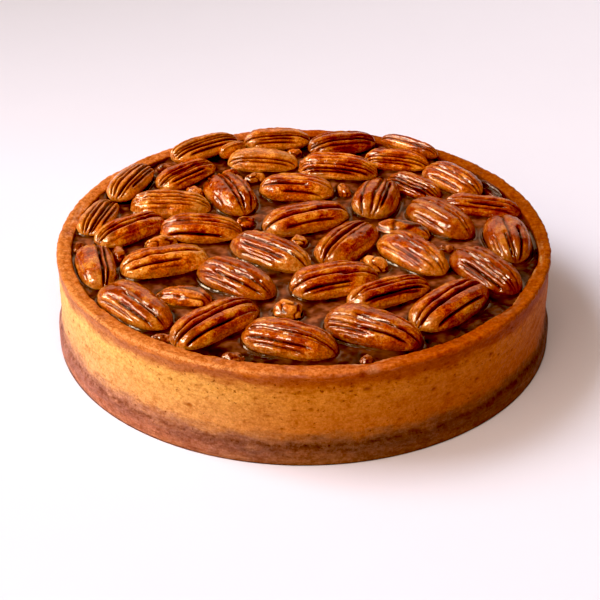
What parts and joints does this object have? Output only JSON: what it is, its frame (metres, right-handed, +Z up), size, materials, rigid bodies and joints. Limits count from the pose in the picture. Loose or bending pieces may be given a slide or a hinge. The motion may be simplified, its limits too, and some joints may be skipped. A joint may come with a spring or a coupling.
{
  "type": "pecan pie",
  "caption": "Round pecan pie with a straight-sided shortcrust shell, dark set syrup and glossy pecan halves and broken pieces pressed into the top.",
  "frame": {"origin": "middle of the flat underside", "axes": "+Z up out of the pie, -Y towards the viewer of the front, +X to that viewer's right"},
  "size_m": [0.2024, 0.2024, 0.0471],
  "materials": {
    "crust": "matte baked shortcrust, golden on the side and browner at the rim and foot",
    "filling": "glossy dark brown set syrup",
    "pecan": "syrup-glazed roasted pecan, red-brown with tan ridges"
  },
  "bodies": {
    "root": {"crust": "crust", "filling": "filling", "pecan_01": "pecan", "pecan_02": "pecan", "pecan_03": "pecan", "pecan_04": "pecan", "pecan_05": "pecan", "pecan_06": "pecan", "pecan_07": "pecan", "pecan_08": "pecan", "pecan_09": "pecan", "pecan_10": "pecan", "pecan_11": "pecan", "pecan_12": "pecan", "pecan_13": "pecan", "pecan_14": "pecan", "pecan_15": "pecan", "pecan_16": "pecan", "pecan_17": "pecan", "pecan_18": "pecan", "pecan_19": "pecan", "pecan_20": "pecan", "pecan_21": "pecan", "pecan_22": "pecan", "pecan_23": "pecan", "pecan_24": "pecan", "pecan_25": "pecan", "pecan_26": "pecan", "pecan_27": "pecan", "pecan_28": "pecan", "pecan_29": "pecan", "pecan_30": "pecan", "pecan_31": "pecan", "pecan_32": "pecan", "pecan_33": "pecan", "pecan_34": "pecan", "pecan_35": "pecan", "pecan_36": "pecan", "pecan_37": "pecan", "pecan_38": "pecan", "pecan_piece_01": "pecan", "pecan_piece_02": "pecan", "pecan_piece_03": "pecan", "pecan_piece_04": "pecan", "pecan_piece_05": "pecan", "pecan_piece_06": "pecan", "pecan_piece_07": "pecan", "pecan_piece_08": "pecan", "pecan_piece_09": "pecan", "pecan_piece_10": "pecan", "pecan_piece_11": "pecan", "pecan_piece_12": "pecan", "pecan_piece_13": "pecan"}
  },
  "joints": []
}
